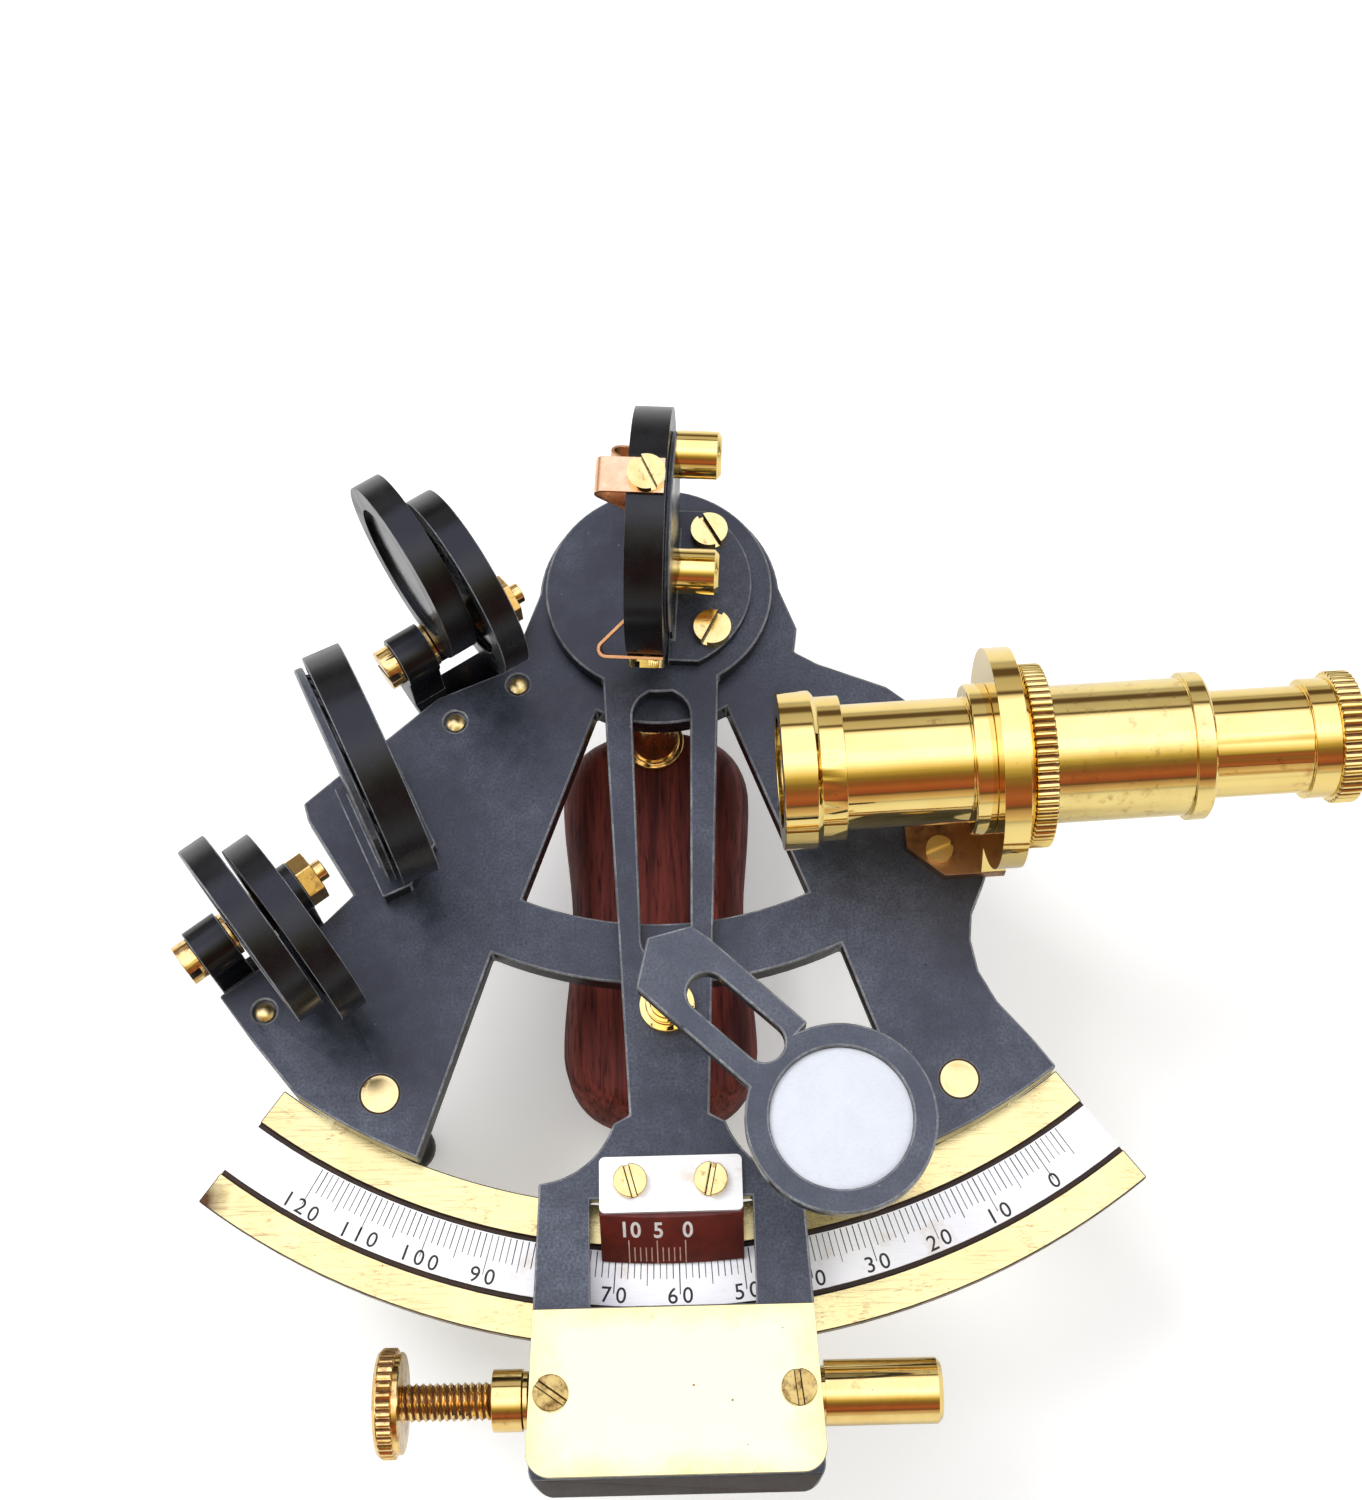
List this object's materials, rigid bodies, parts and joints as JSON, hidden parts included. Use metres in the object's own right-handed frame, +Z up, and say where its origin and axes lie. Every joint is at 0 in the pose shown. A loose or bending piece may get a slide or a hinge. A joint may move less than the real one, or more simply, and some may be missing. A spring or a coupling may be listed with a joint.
{
  "type": "marine sextant",
  "caption": "Marine sextant with index arm, vernier, tangent screw, magnifier, mirrors, swinging shades, telescope with draw tube and wooden handle.",
  "frame": {"origin": "on the rest plane, under the centre of the index arm's pivot; the foot of the third leg stands there", "axes": "+Y runs from the scale to the index mirror, +X to the side the telescope's eyepiece points to, +Z up, square to the frame plate, out of the side with the scale and the mirrors"},
  "size_m": [0.2127, 0.1908, 0.0983],
  "materials": {
    "black_paint": "satin",
    "brass": "polished and handled",
    "silvered": "matt silvered",
    "steel": "turned",
    "wood": "varnished",
    "mirror_glass": "silvered behind glass",
    "shade_glass": "dark tinted",
    "lens_glass": "clear",
    "copper": "spring copper alloy",
    "vernier_red": "oxidised dark red"
  },
  "bodies": {
    "frame": {"frame_plate": "black_paint", "limb_arc": "brass", "scale_strip": "silvered", "limb_pins": "brass", "legs": "brass", "centre_bearing": "brass", "handle_grip": "wood", "handle_posts": "brass", "handle_screws": "brass", "horizon_bracket": "black_paint", "horizon_frame": "black_paint", "horizon_glass": "mirror_glass", "index_shade_bracket": "black_paint", "horizon_shade_bracket": "black_paint", "shade_pins": "brass", "shade_nuts": "brass", "frame_screws": "brass", "telescope_bracket": "brass", "telescope_tube": "brass", "telescope_lock_ring": "brass", "objective_ring": "brass", "objective_lens": "lens_glass"},
    "index_arm": {"index_arm": "black_paint", "index_axle": "steel", "axle_nut": "brass", "mirror_base": "black_paint", "mirror_screws": "brass", "index_mirror_frame": "black_paint", "index_glass": "mirror_glass", "mirror_adjusters": "brass", "mirror_clips": "copper", "vernier_plate": "silvered", "vernier_strip": "vernier_red", "vernier_screws": "brass", "foot_block": "black_paint", "block_screws": "brass", "cover_plate": "brass", "cover_screws": "brass", "tangent_collar": "brass", "spring_barrel": "brass", "magnifier_post": "brass", "clamp_spring": "steel"},
    "clamp_slider": {"clamp_slider": "brass", "spring_plunger": "steel"},
    "clamp_gib": {"clamp_gib": "brass"},
    "clamp_screw": {"clamp_screw": "brass"},
    "tangent_screw": {"tangent_screw": "brass"},
    "magnifier": {"magnifier_arm": "black_paint", "magnifier_lens": "lens_glass"},
    "index_shade_near": {"index_shade_near": "black_paint", "index_shade_near_glass": "shade_glass"},
    "index_shade_far": {"index_shade_far": "black_paint", "index_shade_far_glass": "shade_glass"},
    "horizon_shade_near": {"horizon_shade_near": "black_paint", "horizon_shade_near_glass": "shade_glass"},
    "horizon_shade_far": {"horizon_shade_far": "black_paint", "horizon_shade_far_glass": "shade_glass"},
    "eyepiece": {"draw_tube": "brass", "eyepiece_ring": "brass", "eyepiece_lens": "lens_glass"}
  },
  "joints": [
    {"name": "index_arm_turn", "type": "hinge", "parent": "frame", "child": "index_arm", "pos_m": [0, 0, 0.0468], "axis": [0, 0, -1], "range_deg": [-30, 30.8]},
    {"name": "clamp_travel", "type": "slide", "parent": "index_arm", "child": "clamp_slider", "axis": [1, 0, 0], "range_m": [-0.003, 0.003], "deforming": ["clamp_spring"]},
    {"name": "tangent_screw_turn", "type": "hinge", "parent": "clamp_slider", "child": "tangent_screw", "pos_m": [-0.0459, -0.1512, 0.0422], "axis": [1, 0, 0], "range_deg": [-900.5, 900.5]},
    {"name": "clamp_gib_lift", "type": "slide", "parent": "clamp_slider", "child": "clamp_gib", "axis": [0, 0, 1], "range_m": [-0.0006, 0.00027]},
    {"name": "clamp_screw_turn", "type": "hinge", "parent": "clamp_gib", "child": "clamp_screw", "pos_m": [0, -0.1313, 0.034], "axis": [0, 0, 1], "range_deg": [-270.5, 122]},
    {"name": "magnifier_swing", "type": "hinge", "parent": "index_arm", "child": "magnifier", "pos_m": [0, -0.0845, 0.073], "axis": [0, 0, 1], "range_deg": [-43, 5]},
    {"name": "index_shade_near_swing", "type": "hinge", "parent": "frame", "child": "index_shade_near", "pos_m": [-0.04168, -0.0107, 0.053], "axis": [-0.848, -0.5299, 0], "range_deg": [-54, 97]},
    {"name": "index_shade_far_swing", "type": "hinge", "parent": "frame", "child": "index_shade_far", "pos_m": [-0.03642, -0.00741, 0.053], "axis": [-0.848, -0.5299, 0], "range_deg": [-29, 122]},
    {"name": "horizon_shade_near_swing", "type": "hinge", "parent": "frame", "child": "horizon_shade_near", "pos_m": [-0.07659, -0.06764, 0.053], "axis": [-0.8039, -0.5948, 0], "range_deg": [-19, 141]},
    {"name": "horizon_shade_far_swing", "type": "hinge", "parent": "frame", "child": "horizon_shade_far", "pos_m": [-0.07161, -0.06395, 0.053], "axis": [-0.8039, -0.5948, 0], "range_deg": [-7, 153]},
    {"name": "draw_tube_slide", "type": "slide", "parent": "frame", "child": "eyepiece", "axis": [0.9993, 0.0384, 0], "range_m": [-0.015, 0.01]}
  ],
  "couplings": [
    {"joint": "tangent_screw_turn", "follows": "clamp_travel", "rad_per_m": 5236},
    {"joint": "clamp_screw_turn", "follows": "clamp_gib_lift", "rad_per_m": 7854}
  ]
}
